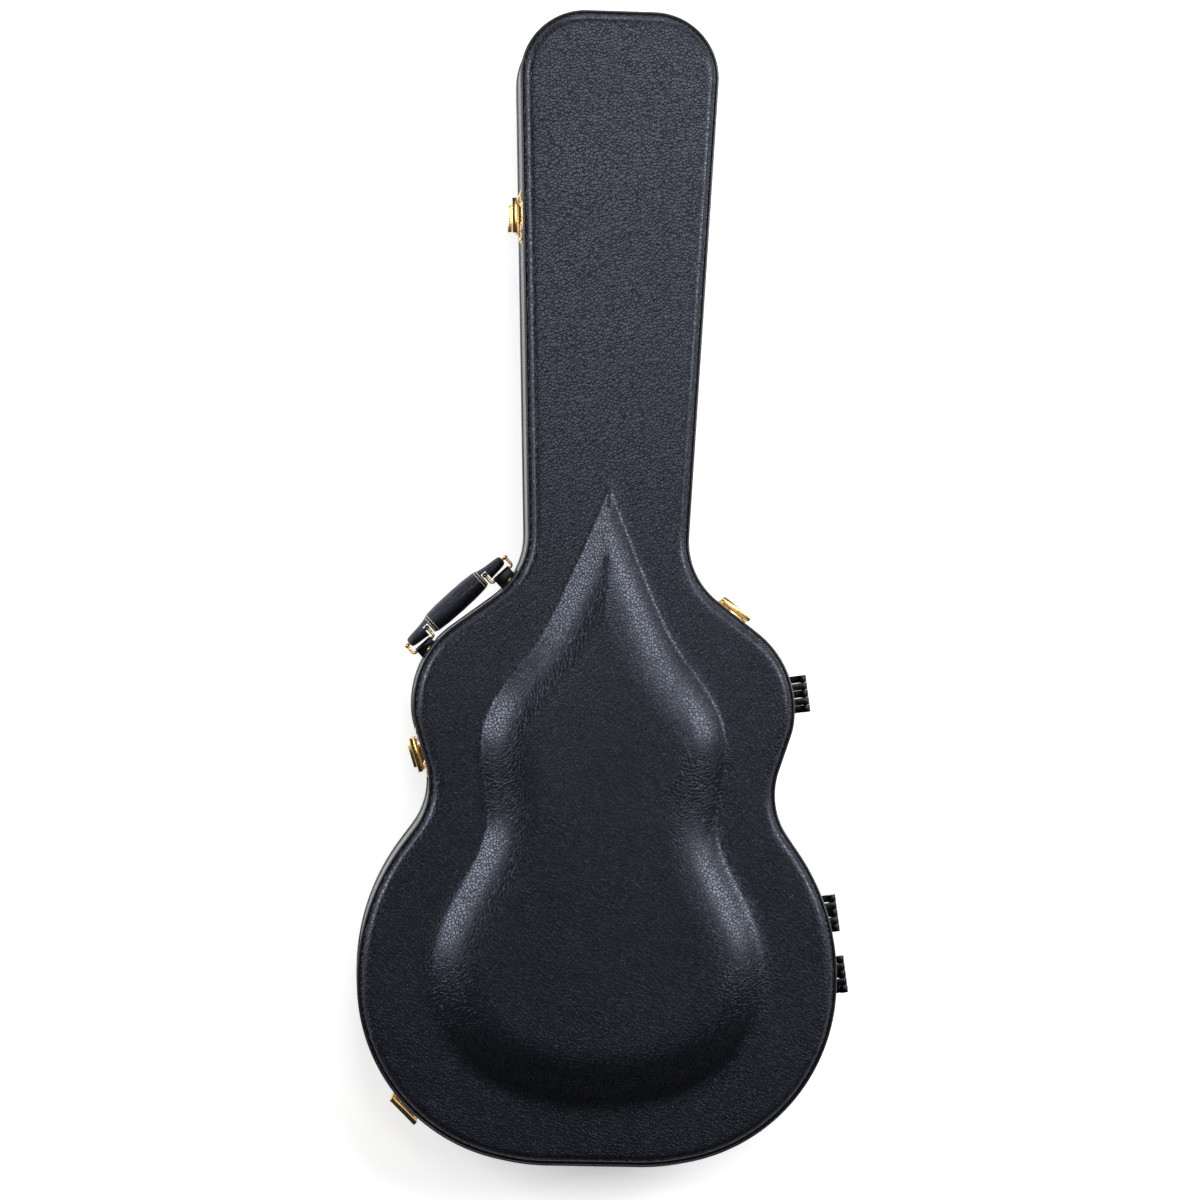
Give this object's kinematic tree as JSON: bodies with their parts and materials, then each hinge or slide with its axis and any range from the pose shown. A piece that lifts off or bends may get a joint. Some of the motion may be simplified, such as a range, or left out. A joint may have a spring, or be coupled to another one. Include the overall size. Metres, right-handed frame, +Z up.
{
  "type": "electric guitar case",
  "caption": "Guitar-shaped hard case with a crowned lid hinged along one side, draw latches, a padded carry handle and a plush-lined inside.",
  "frame": {"origin": "centre of the back's outer face, on which the case lies", "axes": "+X across the case to the hinge side, +Y from the tail to the head, +Z up through the lid"},
  "size_m": [0.478, 1.113, 0.1344],
  "materials": {
    "shell_leather": "black pebble-grained artificial leather over plywood",
    "handle_leather": "black grained leather with cream stitching",
    "piping": "smooth black piping",
    "plush_lining": "short black plush",
    "pull_ribbon": "woven black ribbon",
    "gold_hardware": "polished gold plating"
  },
  "bodies": {
    "base": {"base_board": "shell_leather", "base_side_left": "shell_leather", "base_side_right": "shell_leather", "base_piping": "piping", "valance": "plush_lining", "base_lining": "plush_lining", "tail_bolster": "plush_lining", "shoulder_bolster_left": "plush_lining", "shoulder_bolster_right": "plush_lining", "head_bolster": "plush_lining", "neck_cradle": "plush_lining", "pocket_divider": "plush_lining", "pocket_pin": "gold_hardware", "latch_plate_neck": "gold_hardware", "latch_plate_waist": "gold_hardware", "latch_plate_tail": "gold_hardware", "latch_plate_shoulder": "gold_hardware", "latch_pins": "gold_hardware", "hinge_base_leaf_tail": "gold_hardware", "hinge_base_leaf_bout": "gold_hardware", "hinge_base_leaf_shoulder": "gold_hardware", "hinge_pins": "gold_hardware", "handle_bracket_head": "gold_hardware", "handle_bracket_tail": "gold_hardware", "base_rivets": "gold_hardware"},
    "lid": {"lid_panel": "shell_leather", "lid_side_left": "shell_leather", "lid_side_right": "shell_leather", "lid_piping": "piping", "lid_lining": "plush_lining", "hinge_lid_leaf_tail": "gold_hardware", "hinge_lid_leaf_bout": "gold_hardware", "hinge_lid_leaf_shoulder": "gold_hardware", "latch_strike_neck": "gold_hardware", "latch_strike_waist": "gold_hardware", "latch_strike_tail": "gold_hardware", "latch_strike_shoulder": "gold_hardware", "lid_rivets": "gold_hardware"},
    "handle_rings": {"handle_rings": "gold_hardware"},
    "handle_grip": {"handle_grip": "handle_leather"},
    "pocket_flap": {"pocket_flap": "plush_lining", "flap_tab": "pull_ribbon"},
    "latch_lever_neck": {"latch_lever_neck": "gold_hardware"},
    "latch_hook_neck": {"latch_hook_neck": "gold_hardware"},
    "latch_lever_waist": {"latch_lever_waist": "gold_hardware"},
    "latch_hook_waist": {"latch_hook_waist": "gold_hardware"},
    "latch_lever_tail": {"latch_lever_tail": "gold_hardware"},
    "latch_hook_tail": {"latch_hook_tail": "gold_hardware"},
    "latch_lever_shoulder": {"latch_lever_shoulder": "gold_hardware"},
    "latch_hook_shoulder": {"latch_hook_shoulder": "gold_hardware"}
  },
  "joints": [
    {"name": "lid_hinge", "type": "hinge", "parent": "base", "child": "lid", "pos_m": [0.23494, -0.33947, 0.0762], "axis": [-0.1582, 0.9874, 0], "range_deg": [0, 100]},
    {"name": "ring_swing", "type": "hinge", "parent": "base", "child": "handle_rings", "pos_m": [-0.13627, -0.02362, 0.042], "axis": [-0.7254, -0.6884, 0], "range_deg": [-40, 40]},
    {"name": "grip_swing", "type": "hinge", "parent": "handle_rings", "child": "handle_grip", "pos_m": [-0.1435, -0.016, 0.042], "axis": [-0.7254, -0.6884, 0], "range_deg": [-30, 30]},
    {"name": "pocket_hinge", "type": "hinge", "parent": "base", "child": "pocket_flap", "pos_m": [0, 0.115, 0.041], "axis": [-1, 0, 0], "range_deg": [0, 90]},
    {"name": "lever_neck", "type": "hinge", "parent": "base", "child": "latch_lever_neck", "pos_m": [-0.09365, 0.35914, 0.061], "axis": [-0.0406, 0.9992, 0], "range_deg": [-9, 95]},
    {"name": "hook_neck", "type": "hinge", "parent": "latch_lever_neck", "child": "latch_hook_neck", "pos_m": [-0.09425, 0.35911, 0.05401], "axis": [-0.0406, 0.9992, 0], "range_deg": [-153, 15]},
    {"name": "lever_waist", "type": "hinge", "parent": "base", "child": "latch_lever_waist", "pos_m": [-0.17626, -0.16408, 0.061], "axis": [-0.3052, 0.9523, 0], "range_deg": [-9, 95]},
    {"name": "hook_waist", "type": "hinge", "parent": "latch_lever_waist", "child": "latch_hook_waist", "pos_m": [-0.17684, -0.16427, 0.05401], "axis": [-0.3052, 0.9523, 0], "range_deg": [-153, 15]},
    {"name": "lever_tail", "type": "hinge", "parent": "base", "child": "latch_lever_tail", "pos_m": [-0.18108, -0.50708, 0.061], "axis": [-0.7155, 0.6986, 0], "range_deg": [-9, 95]},
    {"name": "hook_tail", "type": "hinge", "parent": "latch_lever_tail", "child": "latch_hook_tail", "pos_m": [-0.1815, -0.50751, 0.05401], "axis": [-0.7155, 0.6986, 0], "range_deg": [-153, 15]},
    {"name": "lever_shoulder", "type": "hinge", "parent": "base", "child": "latch_lever_shoulder", "pos_m": [0.12568, -0.01926, 0.061], "axis": [0.8, -0.6, 0], "range_deg": [-9, 95]},
    {"name": "hook_shoulder", "type": "hinge", "parent": "latch_lever_shoulder", "child": "latch_hook_shoulder", "pos_m": [0.12604, -0.01878, 0.05401], "axis": [0.8, -0.6, 0], "range_deg": [-153, 15]}
  ],
  "couplings": [
    {"joint": "hook_neck", "follows": "lever_neck", "ratio": -1.6},
    {"joint": "hook_waist", "follows": "lever_waist", "ratio": -1.6},
    {"joint": "hook_tail", "follows": "lever_tail", "ratio": -1.6},
    {"joint": "hook_shoulder", "follows": "lever_shoulder", "ratio": -1.6}
  ]
}
